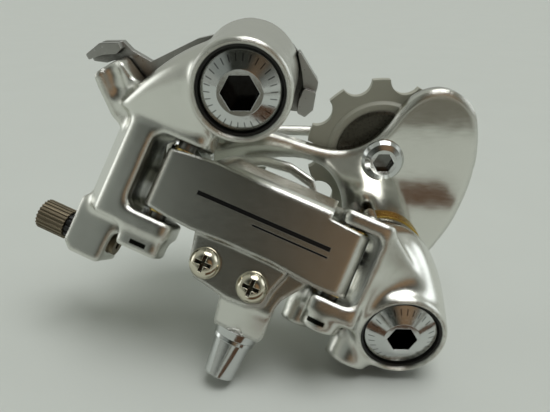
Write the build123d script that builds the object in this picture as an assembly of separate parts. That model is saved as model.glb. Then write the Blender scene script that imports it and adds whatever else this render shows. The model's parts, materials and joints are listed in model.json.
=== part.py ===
from build123d import *
import os
from math import atan2, cos, degrees, pi, radians, sin

os.makedirs("parts", exist_ok=True)

# Rear derailleur, real size, millimetres.  Origin: axis of the hanger bolt at the face
# that seats on the frame hanger.  +X forward along the bicycle, +Y inboard, +Z up.

# ---- driving dimensions -------------------------------------------------------------
CHAIN_PITCH = 12.7
PULLEY_TEETH = 10
PULLEY_PLANE = 9.6           # inboard distance of the chain line on both pulleys
RUN = 0.03                   # radial running clearance of every pivot

UPPER_BARREL_R = 11.0
UPPER_FRONT = -29.5          # outboard end of the upper knuckle barrel
UPPER_BACK = -2.7
UPPER_HEAD_Y = -28.0         # rim plane of the hanger bolt head
BOLT_SHANK_R = 6.0
THREAD_R = 5.0
THREAD_LENGTH = 8.4

LOWER_X, LOWER_Z = 36.5, -54.4   # lower pivot axis, parallel to Y
LOWER_BARREL_R = 10.6
RING_R = 13.0                # bright ring between the lower knuckle and the cage
LOWER_FRONT = -37.1
LOWER_BACK = -0.3
LOWER_HEAD_Y = -35.6
LOWER_SHANK_R = 5.5

HEAD_R = 8.75                # polished bolt heads
SEAL_R = 9.25                # dark ring round each head

# Slanted parallelogram: the four link pins are parallel to PIN.
PIN = Vector(0.380, 0.413, 0.826).normalized()
PIVOT = Vector(-17.95, -19.8, -23.95)    # outer upper pin, middle of the link height
LINK_LENGTH = 44.5
REST_SWING = -14.0           # link angle at the smallest sprocket
INNER_DX, INNER_DY = -4.6, 12.5          # inner pins from outer pins, link directions
PIN_R = 2.0

GUIDE = (35.2, -25.1)
TENSION = (-17.0, -24.4)
PLATE_OUT, PLATE_IN = 1.8, 4.0           # outer cage plate faces
INNER_PLATE = (15.2, 17.0)

ACROSS = Vector(0, 1, 0).cross(PIN).normalized()
ALONG = ACROSS.rotate(Axis((0, 0, 0), tuple(PIN)), REST_SWING)
INWARD = PIN.cross(ALONG)


# ---- helpers ------------------------------------------------------------------------
def spot(x, y, z):
    """A point given along the link, inboard of the pins and up the pins."""
    return PIVOT + ALONG * x + INWARD * y + PIN * z


def link_prism(points, y_out, y_in, radius=0.0):
    """Outline in the link face, thickened between two depths."""
    plane = Plane(spot(0, y_in, 0), x_dir=ALONG, z_dir=INWARD * -1)
    face = make_face(Polyline(*points, close=True))
    if radius:
        face = fillet(face.vertices(), radius)
    return extrude(plane * face, y_in - y_out)


def level_prism(points, z_low, z_high, radius=0.0):
    """Outline seen down the pins, thickened along them."""
    plane = Plane(spot(0, 0, z_low), x_dir=ALONG, z_dir=PIN)
    face = make_face(Polyline(*points, close=True))
    if radius:
        face = fillet(face.vertices(), radius)
    return extrude(plane * face, z_high - z_low)


def pin_rod(x, y, z_low, z_high, radius, top=None):
    """Round bar along the pin direction; a second radius makes it a cone."""
    plane = Plane(spot(x, y, z_low), x_dir=ALONG, z_dir=PIN)
    if top is None:
        return extrude(plane * Circle(radius), z_high - z_low)
    upper = Plane(spot(x, y, z_high), x_dir=ALONG, z_dir=PIN)
    return loft([plane * Circle(radius), upper * Circle(top)])


def side_rod(x, z, y_out, y_in, radius):
    """Round bar parallel to the hanger bolt."""
    plane = Plane((x, y_in, z), x_dir=(1, 0, 0), z_dir=(0, -1, 0))
    return extrude(plane * Circle(radius), y_in - y_out)


def side_ring(x, z, y_out, y_in, outer, inner):
    """Round bar parallel to the hanger bolt with a hole through it."""
    plane = Plane((x, y_in, z), x_dir=(1, 0, 0), z_dir=(0, -1, 0))
    return extrude(plane * (Circle(outer) - Circle(inner)), y_in - y_out)


def side_prism(points, y_out, y_in, radius=0.0):
    """Outline in the plane of the wheel, thickened across the bicycle."""
    plane = Plane((0, y_in, 0), x_dir=(1, 0, 0), z_dir=(0, -1, 0))
    face = make_face(Polyline(*points, close=True))
    if radius:
        face = fillet(face.vertices(), radius)
    return extrude(plane * face, y_in - y_out)


def turned(x, z, profile):
    """Solid of revolution about an axis parallel to Y; profile is (radius, y)."""
    plane = Plane((x, 0, z), x_dir=(1, 0, 0), z_dir=(0, 0, 1))
    face = plane * make_face(Polyline(*profile, close=True))
    return revolve(face, Axis((x, 0, z), (0, 1, 0)))


def hex_socket(x, z, y_out, depth, flats):
    plane = Plane((x, y_out + depth, z), x_dir=(1, 0, 0), z_dir=(0, -1, 0))
    return extrude(plane * RegularPolygon(flats / 2, 6, major_radius=False), depth + 5)


def coil(start, axis, radius, wire, turns, length):
    """Round-wire helical spring."""
    path = Helix(length / turns, length, radius, center=start, direction=axis)
    section = Plane(path @ 0, z_dir=path % 0) * Circle(wire)
    return sweep(section, path)


def save(name, shape):
    export_step(shape, "parts/" + name + ".step")


# ---- hanger bolt, stop plate and clip: fixed to the frame -----------------------------
def pivot_bolt(x, z, head_y, shank_r, shoulder_y, end_r, end_y, flats, cone):
    """Large flat headed pivot bolt; the face rises as a cone to the rim of the socket."""
    rim = flats / 2 + 1.2
    chamfer = 0.6
    body = turned(x, z, [
        (0, head_y - cone), (rim, head_y - cone), (HEAD_R - 0.5, head_y),
        (HEAD_R, head_y + 0.5), (HEAD_R, head_y + 2.6), (shank_r, head_y + 2.6),
        (shank_r, shoulder_y), (end_r, shoulder_y), (end_r, end_y - chamfer),
        (end_r - chamfer, end_y), (0, end_y),
    ])
    return body - hex_socket(x, z, head_y - cone, flats, flats)


CLIP_FRONT, CLIP_BACK = -1.3, -0.5
CLIP_GROOVE_R = BOLT_SHANK_R - 0.7
hanger_bolt = pivot_bolt(0, 0, UPPER_HEAD_Y, BOLT_SHANK_R, 0, THREAD_R,
                         THREAD_LENGTH, 7, 1.9)
hanger_bolt -= side_ring(0, 0, CLIP_FRONT, CLIP_BACK, BOLT_SHANK_R + 1, CLIP_GROOVE_R)

STOP_FRONT = -2.4
stop_disc = side_rod(0, 0, STOP_FRONT, 0, 11.6)
stop_arm = side_prism([(-4, 9.0), (-13, 7.0), (-25, 1.5), (-29.6, 4.2), (-31.6, 6.4),
                       (-36.4, 6.3), (-40.2, 3.6), (-39.4, 1.6), (-36.2, 1.2),
                       (-33.8, 1.9), (-28.4, -5.2), (-12, -4.5)], STOP_FRONT, 0, 0.5)
stop_tip = side_prism([(-31.2, 4.9), (-31.9, 6.3), (-36.4, 6.2), (-40.1, 3.6), (-39.6, 2.3),
                       (-36.2, 3.5), (-32.6, 3.7)], -5.2, -1.0, 0.4)
stop_tab = side_prism([(4, 10.2), (10.4, 5.6), (16.4, -2.2), (16.4, -5.0), (15.2, -9.2),
                       (13.0, -10.8), (9.2, -10.4), (4, -8)], STOP_FRONT, 0, 0.8)
stop_face = side_prism([(11.1, 6.0), (16.5, -2.4), (16.3, -4.2), (13.1, -4.9), (12.5, 0)],
                       -6.4, -1.0, 0.35)
stop_lug = side_prism([(13.1, -3.6), (16.0, -4.6), (15.4, -8.8), (13.4, -10.6), (11.5, -9.6),
                       (11.9, -6.4)], -8.2, -1.0, 0.6)
stop_plate = stop_disc + stop_arm + stop_tip + stop_tab + stop_face + stop_lug
stop_plate -= side_rod(0, 0, STOP_FRONT - 1, 1, BOLT_SHANK_R + 0.02)
stop_plate -= side_rod(0, 0, CLIP_FRONT - 0.1, 1, 8.4)

clip_ring = side_ring(0, 0, CLIP_FRONT + 0.02, CLIP_BACK - 0.02, 7.9, CLIP_GROOVE_R + 0.02)
clip_gap = side_prism([(-1.8, -12), (1.8, -12), (1.8, 0), (-1.8, 0)], -3, 1)
retaining_clip = clip_ring - clip_gap

# ---- upper knuckle ---------------------------------------------------------------------
JAW_TOP_LOW, JAW_TOP_HIGH = 10.1, 14.4
JAW_LOW_TOP, JAW_LOW_BOTTOM = -8.9, -13.0
upper_barrel = turned(0, 0, [(0, UPPER_FRONT), (UPPER_BARREL_R - 0.9, UPPER_FRONT),
                             (UPPER_BARREL_R - 0.2, UPPER_FRONT + 0.8),
                             (UPPER_BARREL_R, UPPER_FRONT + 9),
                             (UPPER_BARREL_R + 1.0, UPPER_BACK), (0, UPPER_BACK)])


def soft_section(plane, left, right, out, back, corner):
    """Closed smooth outline of given half widths, squarer as corner nears one."""
    u, v = (right + left) / 2, (out + back) / 2
    wide, tall = (right - left) / 2, (out - back) / 2
    ring = []
    for k in range(8):
        reach = corner * 2 ** 0.5 if k % 2 else 1.0
        ring.append((u + wide * reach * cos(k * pi / 4), v + tall * reach * sin(k * pi / 4)))
    return plane * make_face(Spline(*ring, periodic=True))


# arm from the barrel down to the two jaws
arm_way = Vector(-0.80, 0, -0.60)
arm_side = Vector(0.60, 0, -0.80)
arm_root = Plane(Vector(0, -15.0, 0), x_dir=arm_side, z_dir=arm_way)
arm_bend = Plane(Vector(-13.2, -13.0, -5.6), x_dir=Vector(0.76, -0.10, -0.64),
                 z_dir=Vector(-0.66, -0.16, -0.76))
arm_foot = Plane(spot(0, 0, JAW_TOP_HIGH - 2.0), x_dir=ALONG, z_dir=PIN * -1)
root_face = soft_section(arm_root, -10.6, 9.6, 8.6, -11.4, 0.80)
bend_face = soft_section(arm_bend, -10.6, 10.2, 8.0, -10.0, 0.80)
foot_face = soft_section(arm_foot, -19.6, 4.8, 4.9, -14.2, 0.86)
arm = loft([root_face, bend_face, foot_face])

yoke_outline = [(5.4, -4.6), (-13.4, -4.6), (-21.8, 9.0), (-18.5, 15.5), (-8.5, 16.6),
                (0.4, 14.6), (1.0, 11.0), (5.4, 4.0)]
yoke = level_prism(yoke_outline, JAW_LOW_BOTTOM, JAW_TOP_HIGH, 2.2)
gap_outline = [(9, -8), (-7.4, -8), (-7.4, -2), (-9.6, 2), (-9.6, 20), (9, 20)]
yoke_gap = level_prism(gap_outline, JAW_LOW_TOP, JAW_TOP_LOW, 0.8)
outer_lug = level_prism([(-6.4, -3.9), (4.2, -3.9), (4.9, 1.0), (3.2, 6.0), (-6.4, 7.0)],
                        -17.8, JAW_LOW_BOTTOM + 1, 1.6)
inner_lug = pin_rod(INNER_DX, INNER_DY, -17.0, JAW_LOW_BOTTOM + 1, 4.2)

# block that carries the cable adjuster
ADJ_Y, ADJ_Z = 10.0, -21.1
boss_block = link_prism([(-21.8, -11.5), (-21.9, -24.2), (-19.8, -26.2), (-11.4, -26.2),
                         (-11.0, -20.0), (-10.6, -11.5)], 4.8, 15.4, 0.9)

# guard that sits in front of the stop plate hook
guard = side_prism([(-25.4, -4.2), (-30.0, 2.7), (-30.9, 3.0), (-32.4, 2.5), (-36.2, 0.4),
                    (-37.0, -0.6), (-36.4, -3.2), (-35.0, -7.4), (-34.2, -10.0),
                    (-29.5, -16.5), (-20, -16)], -10.5, -3.0, 0.7)
channel = Plane((-33.2, -11.9, 3.6), x_dir=(0, 1, 0), z_dir=(0.22, 0.05, -0.97))
guard -= loft([channel * Circle(3.2), channel.offset(16) * Circle(1.6)])

upper_knuckle = upper_barrel + arm + yoke + boss_block + guard + outer_lug + inner_lug
upper_knuckle -= yoke_gap
behind = Pos(0, 50 + UPPER_BACK, 0) * Box(60, 100, 60)
low_cut = Pos(-10, 50 - 1.6, -40) * Box(100, 100, 120)
upper_knuckle -= behind
upper_knuckle -= low_cut
upper_knuckle -= side_rod(0, 0, UPPER_FRONT - 1, UPPER_BACK + 5, BOLT_SHANK_R + 1.52)
upper_knuckle -= side_rod(0, 0, UPPER_FRONT - 1, UPPER_HEAD_Y + 2.65, SEAL_R + 0.05)
upper_knuckle -= side_rod(0, 0, -14.0, UPPER_BACK + 5, 10.2)
for pin_x, pin_y, low in ((0, 0, -19.0), (INNER_DX, INNER_DY, -18.0)):
    upper_knuckle -= pin_rod(pin_x, pin_y, low, JAW_TOP_HIGH - 1.0, PIN_R + 0.005)
adj_axis = Plane(spot(-40, ADJ_Y, ADJ_Z), x_dir=INWARD, z_dir=ALONG)
upper_knuckle -= extrude(adj_axis * Circle(2.55), 40)

def pin_slot(shape, x, y, z, radius):
    """Side slot in a jaw lug through which an e-clip is pushed on to its pin."""
    cut = pin_rod(x, y, z - 0.45, z + 0.45, radius)
    keep = level_prism([(x + 1.8, y - 9), (x + 9, y - 9), (x + 9, y + 9), (x - 9, y + 9),
                        (x - 9, y + 1.5), (x + 1.8, y + 1.5)], z - 1, z + 1)
    pocket = pin_rod(x, y, z - 0.45, z + 0.45, CLIP_R + 0.1)
    return shape - (cut - keep) - pocket


CLIP_R = 3.5
UPPER_CLIPS = ((0, 0, -15.9), (INNER_DX, INNER_DY, -15.3))
LOWER_CLIPS = ((LINK_LENGTH, 0, -15.2), (LINK_LENGTH + INNER_DX, INNER_DY, -18.4))
for clip in UPPER_CLIPS:
    upper_knuckle = pin_slot(upper_knuckle, *clip, 6.0)
save("upper_knuckle", upper_knuckle)
save("hanger_bolt", hanger_bolt)
save("stop_plate", stop_plate)
save("retaining_clip", retaining_clip)

upper_seal = side_ring(0, 0, UPPER_HEAD_Y - 0.3, UPPER_HEAD_Y + 2.6, SEAL_R, HEAD_R + 0.03)
save("upper_seal_ring", upper_seal)
save("upper_bush", side_ring(0, 0, UPPER_HEAD_Y + 2.7, UPPER_BACK, BOLT_SHANK_R + 1.5,
                             BOLT_SHANK_R + RUN))
save("upper_pivot_spring", coil((0, -12.5, 0), (0, 1, 0), 9.0, 0.65, 5, 8.0))


# ---- link pins and their clips ---------------------------------------------------------
def link_pin(x, y, low, high, clip_z):
    pin = pin_rod(x, y, low, high, PIN_R)
    groove = pin_rod(x, y, clip_z - 0.32, clip_z + 0.32, PIN_R + 1)
    return pin - (groove - pin_rod(x, y, clip_z - 1, clip_z + 1, PIN_R - 0.4))


def e_clip(x, y, z):
    ring = pin_rod(x, y, z - 0.3, z + 0.3, CLIP_R) - pin_rod(x, y, z - 1, z + 1, PIN_R - 0.38)
    mouth = level_prism([(x - 1.3, y - 6), (x + 1.3, y - 6), (x + 1.3, y), (x - 1.3, y)],
                        z - 1, z + 1)
    return ring - mouth


UPPER_PIN_TOP = JAW_TOP_HIGH - 1.1
save("upper_outer_pin", link_pin(0, 0, -17.4, UPPER_PIN_TOP, UPPER_CLIPS[0][2]))
save("upper_inner_pin", link_pin(INNER_DX, INNER_DY, -16.7, UPPER_PIN_TOP,
                                 UPPER_CLIPS[1][2]))
save("upper_pin_clips", Compound([e_clip(*c) for c in UPPER_CLIPS]))

# ---- outer link ------------------------------------------------------------------------
FACE = -4.5
SCREWS = ((15.6, -13.4), (27.6, -14.0))
ANCHOR = (28.0, 3.0)
ANCHOR_SEAT = -25.4
face_outline = [(-3.1, 7.4), (3.5, 8.3), (10, 8.9), (15, 8.7), (27.5, 8.0), (41.2, 7.0),
                (47.4, 6.6), (47.8, -8.1), (40.6, -8.4), (29.2, -7.4), (18, -7.4),
                (9.5, -7.8), (2.9, -7.4), (-3.5, -6.5)]
face_plate = link_prism(face_outline, FACE, -0.8, 0.6)
face_plate -= level_prism([(-1.7, FACE - 0.1), (-4.5, FACE - 0.1), (-4.5, -2.3)], -20, 20)
face_plate -= level_prism([(45.2, FACE - 0.1), (48.6, FACE - 0.1), (48.6, -1.9)], -20, 20)
end_top, end_low = 6.4, -6.4
ends = pin_rod(0, 0, end_low, end_top, 3.4) + pin_rod(LINK_LENGTH, 0, -8.0, end_top, 3.4)
roof_plane = Plane(spot(11.5, 0, 0), x_dir=INWARD, z_dir=ALONG)
roof = extrude(roof_plane * make_face(Polyline(
    (FACE, 5.6), (FACE, 8.3), (-3.2, 9.6), (5.6, 12.1), (6.2, 11.2), (5.8, 9.4),
    (-1.0, 6.2), close=True)), 26.5)
floor_rib = link_prism([(9, -4.8), (39, -4.8), (39, -7.4), (9, -7.4)], -1.5, 6.0)
lobe = link_prism([(10.2, -6.4), (11.0, -10.0), (11.9, -14.8), (14.3, -17.5),
                   (19.6, -18.4), (23, -19.2), (28.1, -18.9), (31.5, -17.1),
                   (32.2, -12.7), (33.6, -9.0), (33.6, -6.4)], -3.7, 4.0, 0.9)
clamp_left = [(17, -6.8), (21.2, -18.0), (22.6, -25.4), (33.6, -25.4), (34.4, -24.2),
              (34.2, -17.0)]
clamp_block = link_prism(clamp_left + [(34.9, -14.4), (38.8, -9.0), (39.4, -6.8)],
                         -2.2, 1.5, 0.5)
clamp_block += link_prism(clamp_left + [(34.2, -6.8)], 1.0, 7.4, 0.5)
outer_link = face_plate + ends + roof + floor_rib + lobe + clamp_block
for end_x in (0, LINK_LENGTH):
    outer_link -= pin_rod(end_x, 0, -20, 20, PIN_R + 0.72)
for sx, sz in SCREWS:
    hole = Plane(spot(sx, -12, sz), x_dir=ALONG, z_dir=INWARD)
    outer_link -= extrude(hole * Circle(1.53), 30)
outer_link -= pin_rod(*ANCHOR, ANCHOR_SEAT - 2, ANCHOR_SEAT + 9.5, 2.52)
save("outer_link", outer_link)


def link_bush(x, y, low, high):
    sleeve = pin_rod(x, y, low, high, PIN_R + 0.7)
    return sleeve - pin_rod(x, y, low - 1, high + 1, PIN_R + RUN)


save("outer_link_bushes", Compound([
    link_bush(0, 0, -7.6, -2.5), link_bush(0, 0, 2.5, 8.4),
    link_bush(LINK_LENGTH, 0, -8.6, -2.5), link_bush(LINK_LENGTH, 0, 2.5, 7.2)]))


# ---- cable clamp and limit screws ------------------------------------------------------
washer = pin_rod(*ANCHOR, ANCHOR_SEAT - 2.0, ANCHOR_SEAT - 0.02, 5.1, 5.6)
washer -= pin_rod(*ANCHOR, ANCHOR_SEAT - 4, ANCHOR_SEAT + 1, 2.6)
save("cable_washer", washer)
head_top = ANCHOR_SEAT - 2.04
anchor_bolt = pin_rod(*ANCHOR, head_top - 1.0, head_top, 5.0)
anchor_bolt += pin_rod(*ANCHOR, head_top - 9.7, head_top - 0.9, 3.6, 4.6)
anchor_bolt += pin_rod(*ANCHOR, head_top - 0.5, ANCHOR_SEAT + 9.0, 2.5)
anchor_key = Plane(spot(*ANCHOR, head_top - 10.5), x_dir=ALONG, z_dir=PIN)
anchor_bolt -= extrude(anchor_key * RegularPolygon(2.5, 6, major_radius=False), 5)
save("cable_anchor_bolt", anchor_bolt)


def limit_screw(x, z):
    """Pan head screw with a cross recess, its axis square to the link face."""
    seat = -3.72
    frame = Plane(spot(x, 0, z), x_dir=ALONG, z_dir=PIN)
    arc = ThreePointArc((3.7, seat - 0.5), (2.9, seat - 1.9), (0, seat - 2.6))
    edge = Polyline((0, seat - 2.6), (0, seat), (3.7, seat), (3.7, seat - 0.5))
    head = revolve(frame * make_face([arc, edge]),
                   Axis(tuple(spot(x, 0, z)), tuple(INWARD)))
    stem = Plane(spot(x, seat - 0.2, z), x_dir=ALONG, z_dir=INWARD)
    screw = head + extrude(stem * Circle(1.5), 11.5)
    cross = Plane(spot(x, seat - 1.1, z), x_dir=ALONG, z_dir=INWARD * -1)
    screw -= extrude(cross * (Rectangle(3.9, 0.9) + Rectangle(0.9, 3.9)), 3)
    return screw


save("high_limit_screw", limit_screw(*SCREWS[0]))
save("low_limit_screw", limit_screw(*SCREWS[1]))

# ---- inner link and return spring ------------------------------------------------------
FAR = LINK_LENGTH + INNER_DX
inner_outline = [(-7.2, 8.8), (4, 9.2), (8, 12.6), (15, 15.8), (23, 16.8), (30, 15.4),
                 (34.2, 10.2), (35.4, 6.6), (42.6, 6.6), (42.6, -8.0), (36, -8.4),
                 (30, -9.6), (12, -9.6), (4, -8.2), (-7.2, -8.0)]
inner_link = link_prism(inner_outline, INNER_DY + 0.2, INNER_DY + 2.6, 0.8)
inner_window = [(9.5, 3.5), (11.5, 10.6), (16.0, 13.3), (23.4, 14.3), (29.8, 12.8),
                (32.0, 9.2), (32.2, 3.5)]
inner_link -= link_prism(inner_window, INNER_DY - 1, INNER_DY + 4, 1.0)
inner_link += pin_rod(INNER_DX, INNER_DY, -8.0, 9.0, 3.4)
inner_link += pin_rod(FAR, INNER_DY, -8.2, 6.6, 3.4)
for end_x in (INNER_DX, FAR):
    inner_link -= pin_rod(end_x, INNER_DY, -20, 20, PIN_R + 0.72)
spring_gap = level_prism([(FAR - 6, INNER_DY - 6), (FAR + 6, INNER_DY - 6),
                          (FAR + 6, INNER_DY + 5), (FAR - 6, INNER_DY + 5)], -5.0, 3.6)
inner_link -= spring_gap
save("inner_link", inner_link)
save("inner_link_bushes", Compound([
    link_bush(INNER_DX, INNER_DY, -8.4, -3.0), link_bush(INNER_DX, INNER_DY, 4.0, 9.5),
    link_bush(FAR, INNER_DY, -8.8, -5.1), link_bush(FAR, INNER_DY, 3.7, 7.0)]))
save("return_spring", coil(spot(FAR, INNER_DY, -4.2), PIN, 3.3, 0.55, 5, 6.6))

# ---- cable adjuster --------------------------------------------------------------------
def knurled(radius, depth, count):
    """Round outline with evenly spaced grooves."""
    outline = Circle(radius)
    for k in range(count):
        angle = 2 * pi * k / count
        outline -= Pos(radius * cos(angle), radius * sin(angle)) * Circle(depth)
    return outline


def on_adjuster(x):
    return Plane(spot(x, ADJ_Y, ADJ_Z), x_dir=INWARD, z_dir=ALONG)


adjuster = extrude(on_adjuster(-31.6) * knurled(4.0, 0.33, 24), 7.6)
adjuster += extrude(on_adjuster(-24.4) * Circle(2.5), 14.4)
adjuster -= extrude(on_adjuster(-34) * Circle(2.05), 8)
adjuster -= extrude(on_adjuster(-34) * Circle(0.9), 40)
save("barrel_adjuster", adjuster)
collar = extrude(on_adjuster(-23.9) * (knurled(3.4, 0.4, 12) - Circle(2.56)), 2.0)
save("adjuster_collar", collar)

# ---- lower knuckle ---------------------------------------------------------------------
lower_rim = turned(LOWER_X, LOWER_Z, [
    (0, LOWER_FRONT), (LOWER_BARREL_R - 0.7, LOWER_FRONT),
    (LOWER_BARREL_R, LOWER_FRONT + 0.9), (LOWER_BARREL_R + 0.2, LOWER_FRONT + 4),
    (0, LOWER_FRONT + 4)])


def barrel_section(y, radii):
    """Closed smooth outline round the lower pivot, one radius every 45 degrees from +X."""
    plane = Plane((LOWER_X, y, LOWER_Z), x_dir=(1, 0, 0), z_dir=(0, -1, 0))
    ring = []
    for k, radius in enumerate(radii):
        ring.append((radius * cos(k * pi / 4), radius * sin(k * pi / 4)))
    return plane * make_face(Spline(*ring, periodic=True))


lower_barrel = lower_rim + loft([
    barrel_section(LOWER_FRONT + 2, [10.6] * 8),
    barrel_section(-31.0, [11.3, 12.4, 15.8, 14.2, 11.0, 10.8, 10.7, 11.0]),
    barrel_section(-26.0, [12.2, 13.8, 20.6, 17.4, 11.8, 11.0, 10.7, 11.4]),
    barrel_section(-19.0, [12.9, 14.4, 20.2, 18.0, 12.5, 11.1, 10.8, 11.8]),
    barrel_section(-12.0, [12.9, 13.4, 16.0, 15.6, 12.6, 11.4, 11.0, 12.0]),
    barrel_section(-5.0, [12.6, 12.3, 12.6, 12.6, 12.5, 11.9, 11.3, 12.0]),
    barrel_section(LOWER_BACK, [12.2, 11.9, 11.7, 12.0, 12.2, 11.8, 11.4, 11.9]),
])
TOP_JAW = (7.5, 11.0)
LOW_JAW = (-9.5, -13.5)
web_start = Plane(spot(50.6, 0, 0), x_dir=INWARD, z_dir=ALONG)
web_face = web_start * make_face(Polyline((-4.6, 11.0), (-4.6, -13.5), (16.0, -13.5),
                                          (16.0, 11.0), close=True))
barrel_plane = Plane((LOWER_X, 0, LOWER_Z), x_dir=(0, 1, 0), z_dir=(0.6, 0, -0.8))
barrel_face = barrel_plane * make_face(Polyline((-33.5, 9.8), (-33.5, -9.8), (-7, -9.8),
                                                (-7, 9.8), close=True))
web = loft([web_face, barrel_face])
foot_lobe = pin_rod(54.8, 9.4, -23.2, -12.0, 5.4)
jaw_outline = [(40.4, -4.6), (52, -4.6), (53, 15.9), (37.2, 16.4), (35.8, 13.0),
               (36.6, 9.6), (40.0, 6.4), (40.2, 2.0)]
lower_knuckle = lower_barrel + web + foot_lobe
lower_knuckle -= level_prism([(30, -14), (50.6, -14), (50.6, 22), (30, 22)], LOW_JAW[0],
                             TOP_JAW[0])
lower_knuckle += level_prism(jaw_outline, *TOP_JAW, 1.2)
lower_knuckle += level_prism(jaw_outline, LOW_JAW[1], LOW_JAW[0], 1.2)
lower_knuckle += pin_rod(LINK_LENGTH, 0, -17.2, LOW_JAW[1] + 1, 4.4)
lower_knuckle += pin_rod(FAR, INNER_DY, -20.2, LOW_JAW[1] + 1, 4.1)
stop_r = 14.5
lug_angle, pin_angle = radians(106), radians(120)
lower_knuckle -= side_ring(LOWER_X, LOWER_Z, -3.9, 2, 20, RING_R)
lower_knuckle += side_rod(LOWER_X + stop_r * cos(lug_angle), LOWER_Z + stop_r * sin(lug_angle),
                          -7.0, LOWER_BACK - 0.1, 2.0)
low_side = Pos(LOWER_X, -20, LOWER_Z - 11.5 - 10) * Box(80, 80, 20)
lower_knuckle -= low_side
lower_knuckle -= side_rod(LOWER_X, LOWER_Z, LOWER_FRONT - 1, 2, LOWER_SHANK_R + 1.32)
lower_knuckle -= side_rod(LOWER_X, LOWER_Z, LOWER_FRONT - 1, LOWER_HEAD_Y + 2.65,
                          SEAL_R + 0.05)
lower_knuckle -= side_rod(LOWER_X, LOWER_Z, -13.0, 2, 9.2)
lower_knuckle -= pin_rod(LINK_LENGTH, 0, -19, TOP_JAW[1] - 0.8, PIN_R + 0.005)
lower_knuckle -= pin_rod(FAR, INNER_DY, -22, TOP_JAW[1] - 0.8, PIN_R + 0.005)
for clip in LOWER_CLIPS:
    lower_knuckle = pin_slot(lower_knuckle, *clip, 6.0)
save("lower_knuckle", lower_knuckle)
LOWER_PIN_TOP = TOP_JAW[1] - 0.9
save("lower_outer_pin", link_pin(LINK_LENGTH, 0, -16.8, LOWER_PIN_TOP, LOWER_CLIPS[0][2]))
save("lower_inner_pin", link_pin(FAR, INNER_DY, -19.9, LOWER_PIN_TOP, LOWER_CLIPS[1][2]))
save("lower_pin_clips", Compound([e_clip(*c) for c in LOWER_CLIPS]))
save("lower_seal_ring", side_ring(LOWER_X, LOWER_Z, LOWER_HEAD_Y - 0.3,
                                  LOWER_HEAD_Y + 2.6, SEAL_R, HEAD_R + 0.03))
save("lower_bush", side_ring(LOWER_X, LOWER_Z, LOWER_HEAD_Y + 2.7, LOWER_BACK - 0.05,
                             LOWER_SHANK_R + 1.3, LOWER_SHANK_R + RUN))
save("cage_spring", coil((LOWER_X, -11.6, LOWER_Z), (0, 1, 0), 8.1, 0.6, 5, 9.0))

# ---- cage ------------------------------------------------------------------------------
CAGE_SHOULDER = PLATE_OUT
LIP_WIDTH, LIP_RISE, LIP_POINTS = 1.1, 2.2, 28
lower_pivot_bolt = pivot_bolt(LOWER_X, LOWER_Z, LOWER_HEAD_Y, LOWER_SHANK_R,
                              CAGE_SHOULDER, 4.5, PLATE_IN + 0.9, 6, 1.7)
save("lower_pivot_bolt", lower_pivot_bolt)
save("brass_seal_ring", side_ring(LOWER_X, LOWER_Z, LOWER_BACK + 0.06, PLATE_OUT - 0.02,
                                  RING_R, LOWER_SHANK_R + 0.05))

cage_top = Spline((-17, -16.0), (-7, -16.2), (3.6, -18.0), (14, -21.2), (23.8, -23.0),
                  (30.6, -21.0), (35.7, -16.4), (39.6, -10.6), (44.0, -6.9), (49.2, -5.7),
                  (54.8, -7.6), (58.9, -12.8))
cage_fin = Spline((58.9, -12.8), (60.6, -22.0), (59.8, -33.5), (57.0, -44.0))
cage_heel = Spline((57.0, -44.0), (52.6, -52.6), (46.6, -61.6))
cage_boss = ThreePointArc((46.6, -61.6), (36.5, -66.0), (26.0, -60.6))
cage_neck = Spline((26.0, -60.6), (24.6, -52), (25.2, -40.0), (18.8, -27.2),
                   (8, -24.8), (-2, -26.6), (-10.4, -31.0))
cage_tail = ThreePointArc((-10.4, -31.0), (-23.4, -29.4), (-17, -16.0))
cage_outline = make_face([cage_top, cage_fin, cage_heel, cage_boss, cage_neck, cage_tail])
plate_plane = Plane((0, PLATE_IN, 0), x_dir=(1, 0, 0), z_dir=(0, -1, 0))
outer_plate = extrude(plate_plane * cage_outline, PLATE_IN - PLATE_OUT)


def lip_along(edge):
    """Strip of even width on the inner side of an edge, standing up from the plate."""
    inner = []
    for k in range(LIP_POINTS + 1):
        along = edge % (k / LIP_POINTS)
        inner.append(edge @ (k / LIP_POINTS) + Vector(along.Y, -along.X) * LIP_WIDTH)
    far = Spline(*inner)
    strip = make_face([edge, Line(edge @ 1, far @ 1), far, Line(far @ 0, edge @ 0)])
    plane = Plane((0, PLATE_IN + LIP_RISE, 0), x_dir=(1, 0, 0), z_dir=(0, -1, 0))
    return extrude(plane * strip, LIP_RISE + 0.3)


outer_plate += lip_along(cage_top)
outer_plate += lip_along(cage_fin)
for wheel in (GUIDE, TENSION):
    outer_plate -= side_rod(*wheel, 0, 8, 2.53)
outer_plate -= side_rod(LOWER_X, LOWER_Z, 0, 8, 4.52)
stop_at = (LOWER_X + stop_r * cos(pin_angle), LOWER_Z + stop_r * sin(pin_angle))
outer_plate -= side_rod(*stop_at, 0, 8, 1.31)
save("outer_cage_plate", outer_plate)
save("cage_stop_pin", side_rod(*stop_at, -3.5, PLATE_IN - 0.2, 1.3))

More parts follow.
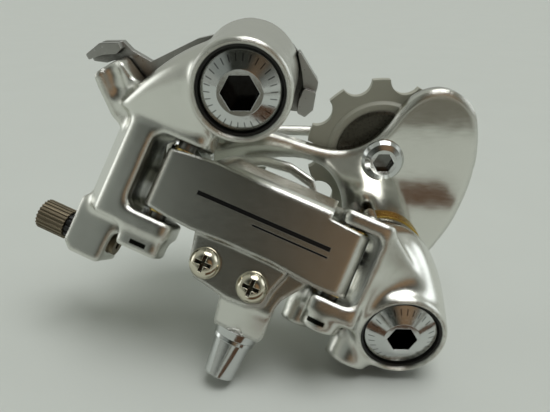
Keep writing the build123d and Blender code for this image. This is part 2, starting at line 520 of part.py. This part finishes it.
slope = degrees(atan2(TENSION[1] - GUIDE[1], TENSION[0] - GUIDE[0]))
centre_x, centre_z = (GUIDE[0] + TENSION[0]) / 2, (GUIDE[1] + TENSION[1]) / 2
spacing = ((GUIDE[0] - TENSION[0]) ** 2 + (GUIDE[1] - TENSION[1]) ** 2) ** 0.5
inner_plane = Plane((0, INNER_PLATE[1], 0), x_dir=(1, 0, 0), z_dir=(0, -1, 0))
plate_shape = Pos(*GUIDE) * Circle(9.0) + Pos(*TENSION) * Circle(8.0)
plate_shape += Pos(centre_x, centre_z) * Rot(0, 0, slope) * Rectangle(spacing, 9.5)
plate_shape -= Pos(centre_x, centre_z) * Rot(0, 0, slope) * SlotOverall(22, 4.5)
inner_plate = extrude(inner_plane * plate_shape, INNER_PLATE[1] - INNER_PLATE[0])
for wheel in (GUIDE, TENSION):
    inner_plate -= side_rod(*wheel, 12, 20, 2.53)
save("inner_cage_plate", inner_plate)


# ---- pulleys ---------------------------------------------------------------------------
PULLEY_TIP_R = 20.6
ROLLER_SEAT_R = 4.3
pitch_r = CHAIN_PITCH / 2 / sin(pi / PULLEY_TEETH)
seat_centre_r = pitch_r + 1.05
HUB_R, RIM_HALF, HUB_HALF, CAP_R = 14.8, 1.3, 2.2, 12.4
BUSH_R = 4.4


def pulley(x, z, turn):
    """Toothed jockey pulley; turn sets which way the first tooth points, degrees."""
    plane = Plane((x, PULLEY_PLANE + RIM_HALF, z), x_dir=(1, 0, 0), z_dir=(0, -1, 0))
    wheel = Circle(PULLEY_TIP_R)
    for k in range(PULLEY_TEETH):
        angle = radians(turn) + 2 * pi * (k + 0.5) / PULLEY_TEETH
        seat = Pos(seat_centre_r * cos(angle), seat_centre_r * sin(angle))
        wheel -= seat * Circle(ROLLER_SEAT_R)
    body = extrude(plane * wheel, 2 * RIM_HALF)
    low, high = PULLEY_PLANE - HUB_HALF, PULLEY_PLANE + HUB_HALF
    body += turned(x, z, [(0, low), (HUB_R - 0.8, low), (HUB_R, low + 0.8),
                          (HUB_R + 0.4, PULLEY_PLANE), (HUB_R, high - 0.8),
                          (HUB_R - 0.8, high), (0, high)])
    return body - side_rod(x, z, 0, 20, BUSH_R + RUN)


save("guide_pulley", pulley(*GUIDE, 92.5))
save("tension_pulley", pulley(*TENSION, 60))


def dust_cap(x, z, plate_face, hub_face):
    """Turned cover on the pulley bush: a spacer at the plate and a wide dished disc."""
    step = 1 if hub_face > plate_face else -1
    neck_r = 4.6
    return turned(x, z, [(BUSH_R + 0.02, plate_face), (neck_r, plate_face),
                         (neck_r, hub_face - 0.8 * step), (CAP_R - 0.8, hub_face - 0.8 * step),
                         (CAP_R, hub_face - 0.4 * step), (CAP_R, hub_face),
                         (BUSH_R + 0.02, hub_face)])


for name, wheel in (("guide", GUIDE), ("tension", TENSION)):
    save(name + "_pulley_bush", side_ring(*wheel, PLATE_IN, INNER_PLATE[0], BUSH_R, 2.53))
    near = PULLEY_PLANE - HUB_HALF - 0.15
    far = PULLEY_PLANE + HUB_HALF + 0.15
    save(name + "_dust_caps", Compound([dust_cap(*wheel, PLATE_IN + 0.02, near),
                                        dust_cap(*wheel, INNER_PLATE[0] - 0.02, far)]))


def pulley_bolt(x, z, height):
    """Button head socket bolt that clamps the two cage plates on a pulley bush."""
    seat = PLATE_OUT
    bolt = turned(x, z, [(0, seat - height), (3.6, seat - height),
                         (5.0, seat - 0.75 * height), (5.8, seat - 0.3 * height),
                         (5.8, seat), (2.5, seat), (2.5, INNER_PLATE[1] + 0.8),
                         (2.0, INNER_PLATE[1] + 1.3), (0, INNER_PLATE[1] + 1.3)])
    return bolt - hex_socket(x, z, seat - height, height - 0.5, 5)


save("guide_pulley_bolt", pulley_bolt(*GUIDE, 2.4))
save("tension_pulley_bolt", pulley_bolt(*TENSION, 2.2))
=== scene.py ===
import json
import math

import bpy
from mathutils import Matrix, Vector


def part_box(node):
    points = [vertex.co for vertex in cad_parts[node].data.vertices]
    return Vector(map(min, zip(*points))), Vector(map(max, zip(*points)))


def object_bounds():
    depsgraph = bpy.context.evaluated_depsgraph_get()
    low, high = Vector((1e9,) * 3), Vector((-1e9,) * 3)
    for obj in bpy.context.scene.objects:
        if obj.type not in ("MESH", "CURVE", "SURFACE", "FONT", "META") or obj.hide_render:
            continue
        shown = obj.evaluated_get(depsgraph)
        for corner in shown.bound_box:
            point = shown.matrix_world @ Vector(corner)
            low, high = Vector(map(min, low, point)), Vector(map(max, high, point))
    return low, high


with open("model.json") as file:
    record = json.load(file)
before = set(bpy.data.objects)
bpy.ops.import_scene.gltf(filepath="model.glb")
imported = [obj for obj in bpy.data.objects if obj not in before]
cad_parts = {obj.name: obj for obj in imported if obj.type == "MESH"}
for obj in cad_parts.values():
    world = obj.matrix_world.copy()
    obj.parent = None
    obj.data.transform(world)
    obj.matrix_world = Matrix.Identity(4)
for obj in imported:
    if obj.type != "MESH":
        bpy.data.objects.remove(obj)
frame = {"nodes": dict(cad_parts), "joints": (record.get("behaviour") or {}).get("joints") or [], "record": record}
cad_low, cad_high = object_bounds()
scene = bpy.context.scene
NODES = frame["nodes"]
MM = 0.001

ALLOY = (0.75, 0.75, 0.70)
STEEL = (0.62, 0.635, 0.625)
BLACK = (0.008, 0.008, 0.008, 1)
# colour of the painted shade in narrow gaps
GAP_SHADE_COLOUR = (0.035, 0.033, 0.026, 1)
RING_BRASS = (0.62, 0.44, 0.12, 1)

# Noise scales, per metre: colour blotches, shallow waves of the surface, fine grain.
BLOTCH, WAVES, GRAIN = 110.0, 150.0, 1100.0
GAP_REACH = 7 * MM           # surfaces up to this far away close in a gap, which gets painted shade

# Places in millimetres from the link_swing joint: along the link and up its pins.
STRIPES = ((7.5, 40.5, 0.7, 0.55), (22.0, 40.5, -1.2, 0.25))   # start, end, height, half width
STRIPE_DEPTH, CLIP_DEPTH = -4.0, -2.0    # stripes and clip slots are drawn further out than this
FOOT_TOP, FOOT_LOW = -17.0, -21.0        # the link is shaded as rounded between these
UPPER_SLOT, LOWER_SLOT = -15.9, -15.2    # heights of the clip slots of the two knuckles
SLOT_SHIFT, SLOT_HALF, SLOT_RISE = -0.8, 2.0, 0.5

TICKS = 30                   # plain marks round each large bolt face
TICK_LOW, TICK_HIGH = 6.1, 7.6           # radii between which they run
UPPER_SOCKET, LOWER_SOCKET, SCREW_SOCKET = 4.15, 3.6, 3.0      # radii that clear each socket
RING_EDGE = 12.3             # radius at which the seal ring turns brass coloured

# Axes of the part, read from its joints: the link runs from one outer pin to the other.
joints = {joint["name"]: joint for joint in frame["joints"]}
link_start = Vector(joints["link_swing"]["pos_m"])
link_end = Vector(joints["carrier_swing"]["pos_m"])
pin_way = Vector(joints["link_swing"]["axis"]).normalized()
link_way = (link_end - link_start).normalized()
inward = pin_way.cross(link_way)


def middle(node):
    low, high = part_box(node)
    return (low + high) / 2


# ---- node helpers ----------------------------------------------------------------------
class Sheet:
    """One material's node tree, with short calls for the nodes used here."""

    def __init__(self, name):
        self.mat = bpy.data.materials.new(name)
        self.mat.use_nodes = True
        self.nodes = self.mat.node_tree.nodes
        self.links = self.mat.node_tree.links
        self.bsdf = self.nodes["Principled BSDF"]
        self.place = self.nodes.new("ShaderNodeTexCoord").outputs["Object"]

    def feed(self, socket, value):
        if isinstance(value, bpy.types.NodeSocket):
            self.links.new(value, socket)
        else:
            socket.default_value = value

    def math(self, operation, first, second=0.0):
        node = self.nodes.new("ShaderNodeMath")
        node.operation = operation
        self.feed(node.inputs[0], first)
        self.feed(node.inputs[1], second)
        return node.outputs[0]

    def dot(self, direction, origin):
        """Distance of the shaded point from origin along a direction, in millimetres."""
        shift = self.vector("SUBTRACT", self.place, origin)
        return self.vector("DOT_PRODUCT", shift, Vector(direction) / MM)

    def away(self, value, centre):
        """How far a value is from a centre, whichever side it is on."""
        return self.math("ABSOLUTE", self.math("SUBTRACT", value, centre))

    def polar(self, centre):
        """Radius in millimetres and angle about a line through centre along the bolts."""
        across = self.dot((1, 0, 0), centre)
        upward = self.dot((0, 0, 1), centre)
        squares = [self.math("MULTIPLY", side, side) for side in (across, upward)]
        return self.math("SQRT", self.math("ADD", *squares)), self.math("ARCTAN2", upward, across)

    def ramp(self, value, low, high, out_low=0.0, out_high=1.0):
        node = self.nodes.new("ShaderNodeMapRange")
        node.interpolation_type = "SMOOTHSTEP"
        self.feed(node.inputs["Value"], value)
        node.inputs["From Min"].default_value = low
        node.inputs["From Max"].default_value = high
        node.inputs["To Min"].default_value = out_low
        node.inputs["To Max"].default_value = out_high
        return node.outputs["Result"]

    def noise(self, scale, detail=3.0, stretch=None):
        node = self.nodes.new("ShaderNodeTexNoise")
        node.inputs["Scale"].default_value = scale
        node.inputs["Detail"].default_value = detail
        place = self.place
        if stretch:
            mapping = self.nodes.new("ShaderNodeMapping")
            mapping.inputs["Scale"].default_value = stretch
            self.links.new(place, mapping.inputs["Vector"])
            place = mapping.outputs["Vector"]
        self.links.new(place, node.inputs["Vector"])
        return node.outputs["Fac"]

    def vector(self, operation, first, second=None, scale=None):
        node = self.nodes.new("ShaderNodeVectorMath")
        node.operation = operation
        self.feed(node.inputs[0], first)
        if second is not None:
            self.feed(node.inputs[1], second)
        if scale is not None:
            self.feed(node.inputs["Scale"], scale)
        return node.outputs["Value" if operation == "DOT_PRODUCT" else "Vector"]

    def bump(self, height, strength, distance, normal):
        node = self.nodes.new("ShaderNodeBump")
        node.inputs["Strength"].default_value = strength
        node.inputs["Distance"].default_value = distance
        self.feed(node.inputs["Height"], height)
        self.feed(node.inputs["Normal"], normal)
        return node.outputs["Normal"]

    def lean(self, direction, amount):
        """Turns the shading normal towards a direction, as a rounded face would."""
        push = self.vector("SCALE", direction, scale=amount)
        self.normal = self.vector("NORMALIZE", self.vector("ADD", self.normal, push))

    def mix(self, factor, first, second):
        node = self.nodes.new("ShaderNodeMix")
        node.data_type = "RGBA"
        self.feed(node.inputs["Factor"], factor)
        self.feed(node.inputs["A"], first)
        self.feed(node.inputs["B"], second)
        return node.outputs["Result"]


def rgba(colour, gain=1.0):
    return (*[min(1.0, part * gain) for part in colour], 1)


def finish(name, colour, rough, grain, edge, metallic=1.0, wave=0.0, scratch=0.0,
           stretch=(1, 1, 1), variation=0.05, hollow=0.0):
    """Base of every finish: blotched colour, grainy roughness, softened edges, relief.

    A gap amount above zero paints shade on the metal in narrow gaps, darker the more closed in they are.
    """
    sheet = Sheet(name)
    sheet.bsdf.inputs["Metallic"].default_value = metallic
    blotch = sheet.noise(BLOTCH)
    sheet.colour = sheet.mix(blotch, rgba(colour, 1 - variation), rgba(colour, 1 + variation))
    # painted shade: the metal turns dark where nearby surfaces close it in
    if hollow:
        open_air = sheet.nodes.new("ShaderNodeAmbientOcclusion")
        open_air.samples = 6
        open_air.inputs["Distance"].default_value = GAP_REACH
        shade = sheet.ramp(open_air.outputs["AO"], 0.22, 0.66, hollow, 0.0)
        sheet.colour = sheet.mix(shade, sheet.colour, GAP_SHADE_COLOUR)
    fine = sheet.noise(GRAIN, 5.0, stretch)
    sheet.rough = sheet.ramp(fine, 0.25, 0.75, max(0.03, rough - grain), rough + grain)
    soft = sheet.nodes.new("ShaderNodeBevel")
    soft.samples = 6
    soft.inputs["Radius"].default_value = edge * MM
    waved = sheet.bump(sheet.noise(WAVES, 1.0), wave, MM, soft.outputs["Normal"])
    sheet.normal = sheet.bump(fine, scratch, 0.2 * MM, waved)
    return sheet


def close(sheet):
    sheet.feed(sheet.bsdf.inputs["Base Color"], sheet.colour)
    sheet.feed(sheet.bsdf.inputs["Roughness"], sheet.rough)
    sheet.feed(sheet.bsdf.inputs["Normal"], sheet.normal)
    return sheet.mat


def link_finish():
    """Polished link face with two plain parallel stripes, a long one and a short one."""
    sheet = finish("link_alloy", ALLOY, 0.25, 0.02, 1.5, wave=0.03, scratch=0.008,
                   stretch=(0.35, 1, 1.6), hollow=0.9)
    along = sheet.dot(link_way, link_start)
    height = sheet.dot(pin_way, link_start)
    depth = sheet.dot(inward, link_start)
    mask = 0.0
    for first, last, level, half in STRIPES:
        centre, reach = (first + last) / 2, (last - first) / 2
        length = sheet.ramp(sheet.away(along, centre), reach - 0.1, reach, 1.0, 0.0)
        width = sheet.ramp(sheet.away(height, level), half - 0.05, half + 0.05, 1.0, 0.0)
        line = sheet.math("MULTIPLY", length, width)
        mask = sheet.math("MAXIMUM", line, mask)
    sheet.lean(-pin_way, sheet.ramp(height, FOOT_LOW, FOOT_TOP, 0.55, 0.0))
    on_face = sheet.ramp(depth, STRIPE_DEPTH - 0.1, STRIPE_DEPTH + 0.1, 1.0, 0.0)
    mask = sheet.math("MULTIPLY", mask, on_face)
    sheet.colour = sheet.mix(mask, sheet.colour, BLACK)
    sheet.feed(sheet.bsdf.inputs["Metallic"], sheet.math("SUBTRACT", 1.0, mask))
    return close(sheet)


def socket_shade(sheet, node, reach, socket_r, full_depth):
    """Painted shade in the socket of a screw: one inside, zero outside; full from full_depth inwards."""
    depth = sheet.dot((0, 1, 0), (0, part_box(node)[0].y, 0))
    inside = sheet.ramp(reach, socket_r, socket_r + 0.1, 1.0, 0.0)
    return sheet.math("MULTIPLY", inside, sheet.ramp(depth, 0.02, full_depth))


def bolt_finish(name, node, socket_r):
    """Plated bolt head: painted shade in its socket and a ring of plain radial ticks on its cone."""
    sheet = finish(name, STEEL, 0.13, 0.04, 0.25, scratch=0.02)
    reach, turn = sheet.polar(middle(node))
    inside = socket_shade(sheet, node, reach, socket_r, 0.5)
    wave = sheet.math("COSINE", sheet.math("MULTIPLY", turn, TICKS))
    past_low = sheet.ramp(reach, TICK_LOW, TICK_LOW + 0.1)
    before_high = sheet.ramp(reach, TICK_HIGH - 0.1, TICK_HIGH, 1.0, 0.0)
    band = sheet.math("MULTIPLY", past_low, before_high)
    tick = sheet.math("MULTIPLY", sheet.ramp(wave, 0.80, 0.88), band)
    sheet.colour = sheet.mix(sheet.math("MULTIPLY", tick, 0.75), sheet.colour,
                             (0.10, 0.10, 0.10, 1))
    # painted shade in the socket, darker further in
    sheet.colour = sheet.mix(inside, sheet.colour, (0.03, 0.03, 0.03, 1))
    return close(sheet)


def screw_finish(name, node):
    """Small plated socket screw with painted shade in its socket."""
    sheet = finish(name, STEEL, 0.15, 0.05, 0.2, scratch=0.02)
    reach, _ = sheet.polar(middle(node))
    inside = socket_shade(sheet, node, reach, SCREW_SOCKET, 0.4)
    # painted shade in the socket, darker further in
    sheet.colour = sheet.mix(inside, sheet.colour, (0.16, 0.16, 0.15, 1))
    return close(sheet)


def ring_finish():
    """Plated seal ring whose raised outer edge is brass coloured."""
    sheet = finish("ring_plate", (0.5, 0.49, 0.44), 0.3, 0.05, 0.15)
    reach, _ = sheet.polar(middle("brass_seal_ring"))
    edge = sheet.ramp(reach, RING_EDGE, RING_EDGE + 0.15)
    sheet.colour = sheet.mix(edge, sheet.colour, RING_BRASS)
    return close(sheet)


def plain_finish(*args, **options):
    return close(finish(*args, **options))


def casting_finish():
    """Satin casting; painted shade marks the clip slots of its lower jaws on the outer face."""
    sheet = finish("polished_alloy", ALLOY, 0.23, 0.03, 1.8, wave=0.08, scratch=0.012,
                   hollow=0.98)
    along = sheet.dot(link_way, link_start)
    height = sheet.dot(pin_way, link_start)
    depth = sheet.dot(inward, link_start)
    front = sheet.ramp(depth, CLIP_DEPTH - 0.2, CLIP_DEPTH + 0.2, 1.0, 0.0)
    link_length = (link_end - link_start).length / MM
    slots = 0.0
    for pin_at, level in ((0.0, UPPER_SLOT), (link_length, LOWER_SLOT)):
        from_middle = sheet.away(along, pin_at + SLOT_SHIFT)
        length = sheet.ramp(from_middle, SLOT_HALF - 0.1, SLOT_HALF + 0.1, 1.0, 0.0)
        from_level = sheet.away(height, level)
        width = sheet.ramp(from_level, SLOT_RISE - 0.05, SLOT_RISE + 0.1, 1.0, 0.0)
        slot = sheet.math("MULTIPLY", length, width)
        slots = sheet.math("MAXIMUM", slot, slots)
    slots = sheet.math("MULTIPLY", slots, front)
    # painted shade where the clip slots open into the jaws
    sheet.colour = sheet.mix(slots, sheet.colour, (0.02, 0.02, 0.016, 1))
    return close(sheet)


casting = casting_finish()
cage_alloy = plain_finish("cage_alloy", ALLOY, 0.12, 0.02, 3.2, wave=0.06, scratch=0.012,
                          stretch=(0.3, 1, 1.4))
polished_steel = plain_finish("polished_steel", STEEL, 0.12, 0.04, 0.25, scratch=0.02)
plain_steel = plain_finish("plain_steel", (0.46, 0.46, 0.44), 0.36, 0.1, 0.35, wave=0.15,
                           scratch=0.12, variation=0.18, hollow=0.9)
nickel = plain_finish("nickel_screw", (0.66, 0.62, 0.50), 0.14, 0.05, 0.3, scratch=0.04,
                      variation=0.1, hollow=0.9)
spring = plain_finish("spring_steel", (0.32, 0.32, 0.32), 0.35, 0.06, 0.1)
bronze = plain_finish("bronze", (0.22, 0.185, 0.13), 0.42, 0.1, 0.15, scratch=0.08,
                      variation=0.2)
seal = plain_finish("dark_seal", (0.012, 0.012, 0.011), 0.36, 0.08, 0.25, metallic=0.0,
                    scratch=0.05)
nylon = plain_finish("pulley_plastic", (0.42, 0.42, 0.35), 0.5, 0.08, 0.5, metallic=0.0,
                     wave=0.1, scratch=0.1, variation=0.1)
brass = plain_finish("brass_ring", (0.78, 0.58, 0.20), 0.25, 0.05, 0.2)
cap = plain_finish("dust_cap", (0.07, 0.066, 0.05), 0.28, 0.02, 0.3, metallic=0.6)
SLOTS = {"polished_alloy": casting, "cage_alloy": cage_alloy,
         "polished_steel": polished_steel, "plain_steel": plain_steel,
         "nickel_screw": nickel, "spring_steel": spring, "bronze": bronze,
         "brass_ring": brass, "dark_seal": seal, "pulley_plastic": nylon}

# Nodes whose finish follows their own shape, in place of the one of their slot.
OWN_FINISH = {
    "outer_link": link_finish(),
    "brass_seal_ring": ring_finish(),
    "guide_dust_caps": cap,
    "tension_dust_caps": cap,
    "hanger_bolt": bolt_finish("hanger_bolt_steel", "hanger_bolt", UPPER_SOCKET),
    "lower_pivot_bolt": bolt_finish("lower_bolt_steel", "lower_pivot_bolt", LOWER_SOCKET),
    "guide_pulley_bolt": screw_finish("guide_bolt_steel", "guide_pulley_bolt"),
    "tension_pulley_bolt": screw_finish("tension_bolt_steel", "tension_pulley_bolt"),
}
for part in frame["record"]["subparts"]:
    node = NODES[part["node"]]
    finish_used = OWN_FINISH.get(part["node"], SLOTS[part["material_slot"]])
    node.data.materials.clear()
    node.data.materials.append(finish_used)


# ---- polished parts: the joins between their forms are melted together ------------------
def skin(obj, voxel):
    remesh = obj.modifiers.new("skin", "REMESH")
    remesh.mode = "VOXEL"
    remesh.voxel_size = voxel * MM
    remesh.use_smooth_shade = True


def swell(obj, amount):
    grow = obj.modifiers.new("swell", "DISPLACE")
    grow.mid_level = 0.0
    grow.strength = amount * MM


def soften(name, voxel, rounds, fill=0.0):
    """Skins a part with fine faces; growing and shrinking it by fill rounds inner corners."""
    obj = NODES[name]
    skin(obj, voxel)
    if fill:
        swell(obj, fill)
        skin(obj, voxel)
        swell(obj, -fill)
        skin(obj, voxel)
    smooth = obj.modifiers.new("polish", "SMOOTH")
    smooth.factor = 0.5
    smooth.iterations = rounds


soften("upper_knuckle", 0.36, 14, 2.2)
soften("lower_knuckle", 0.36, 14, 1.7)
soften("outer_cage_plate", 0.30, 8)

# ---- floor, room, light, camera --------------------------------------------------------
ground = Sheet("floor")
ground.colour = ground.mix(ground.noise(25.0), (0.60, 0.63, 0.595, 1), (0.63, 0.66, 0.625, 1))
ground.feed(ground.bsdf.inputs["Base Color"], ground.colour)
ground.bsdf.inputs["Roughness"].default_value = 0.6
bpy.ops.mesh.primitive_plane_add(size=6, location=(0, 0, cad_low.z))
floor = bpy.context.object
floor.name = "floor"
floor.data.materials.append(ground.mat)


def card(name, low, high, colour):
    """Matt panel just above the floor in front of the part, seen only in reflections."""
    middle_x, middle_y = (low[0] + high[0]) / 2 * MM, (low[1] + high[1]) / 2 * MM
    bpy.ops.mesh.primitive_plane_add(size=1, location=(middle_x, middle_y, cad_low.z + MM))
    panel = bpy.context.object
    panel.name = name
    panel.scale = ((high[0] - low[0]) * MM, (high[1] - low[1]) * MM, 1)
    paint = Sheet(name)
    paint.bsdf.inputs["Base Color"].default_value = colour
    paint.bsdf.inputs["Roughness"].default_value = 0.9
    panel.data.materials.append(paint.mat)
    panel.visible_camera = False
    panel.visible_diffuse = False
    panel.visible_shadow = False


card("brown_card", (-10, -83), (81, -55), (0.10, 0.045, 0.018, 1))
card("grey_card", (-150, -420), (300, -170), (0.16, 0.15, 0.12, 1))

world = bpy.data.worlds.new("room")
scene.world = world
world.use_nodes = True
air, wires = world.node_tree.nodes, world.node_tree.links
looking = air.new("ShaderNodeTexCoord").outputs["Generated"]


def patch(below, direction, inner, outer, colour):
    """Lays a soft round patch of colour over the room behind it; angles in degrees."""
    dot = air.new("ShaderNodeVectorMath")
    dot.operation = "DOT_PRODUCT"
    wires.new(looking, dot.inputs[0])
    dot.inputs[1].default_value = Vector(direction).normalized()
    fade = air.new("ShaderNodeMapRange")
    fade.interpolation_type = "SMOOTHSTEP"
    fade.inputs["From Min"].default_value = math.cos(math.radians(outer))
    fade.inputs["From Max"].default_value = math.cos(math.radians(inner))
    wires.new(dot.outputs["Value"], fade.inputs["Value"])
    mixer = air.new("ShaderNodeMix")
    mixer.data_type = "RGBA"
    wires.new(fade.outputs["Result"], mixer.inputs["Factor"])
    if isinstance(below, tuple):
        mixer.inputs["A"].default_value = below
    else:
        wires.new(below, mixer.inputs["A"])
    mixer.inputs["B"].default_value = colour
    return mixer.outputs["Result"]


room = (0.36, 0.375, 0.34, 1)
room = patch(room, (0, 0.2, 1), 20, 70, (0.40, 0.42, 0.38, 1))
room = patch(room, (0.05, -0.8, 0.55), 24, 62, (0.03, 0.032, 0.026, 1))
room = patch(room, (0.30, -0.9, 0.32), 5, 26, (0.26, 0.17, 0.10, 1))
room = patch(room, (-0.62, -0.70, 0.42), 5, 22, (0.24, 0.26, 0.24, 1))
room = patch(room, (1.0, 0.10, 0.38), 9, 22, (1.5, 1.58, 1.6, 1))
room = patch(room, (-1.0, 0.25, 0.20), 8, 24, (1.6, 1.65, 1.6, 1))
# The camera sees an even backdrop; all other rays see the patches.
calm = air.new("ShaderNodeMix")
calm.data_type = "RGBA"
wires.new(air.new("ShaderNodeLightPath").outputs["Is Camera Ray"], calm.inputs["Factor"])
wires.new(room, calm.inputs["A"])
calm.inputs["B"].default_value = (0.46, 0.49, 0.455, 1)
wires.new(calm.outputs["Result"], air["Background"].inputs["Color"])
air["Background"].inputs["Strength"].default_value = 1.0


def sun(name, way, strength, spread):
    """Wide soft light, its spread in degrees, that reaches the whole floor evenly."""
    data = bpy.data.lights.new(name, "SUN")
    data.energy = strength
    data.angle = math.radians(spread)
    lamp = bpy.data.objects.new(name, data)
    scene.collection.objects.link(lamp)
    lamp.rotation_euler = Vector(way).to_track_quat("Z", "Y").to_euler()


sun("window", (0.22, -0.05, 0.97), 1.45, 38)

CAMERA_AT = Vector((11.11, -127.01, 21.81)) * MM
camera_data = bpy.data.cameras.new("camera")
camera_data.lens = 32.18
camera_data.sensor_width = 36.0
camera_data.clip_start = 0.005
camera = bpy.data.objects.new("camera", camera_data)
scene.collection.objects.link(camera)
right = Vector((0.9991, 0.0422, 0.0))
forward = Vector((-0.0381, 0.9017, -0.4307)).normalized()
up = right.cross(forward)
turn = Matrix((right, up, -forward)).transposed().to_4x4()
camera.matrix_world = Matrix.Translation(CAMERA_AT) @ turn
scene.camera = camera
scene.view_settings.view_transform = "Standard"
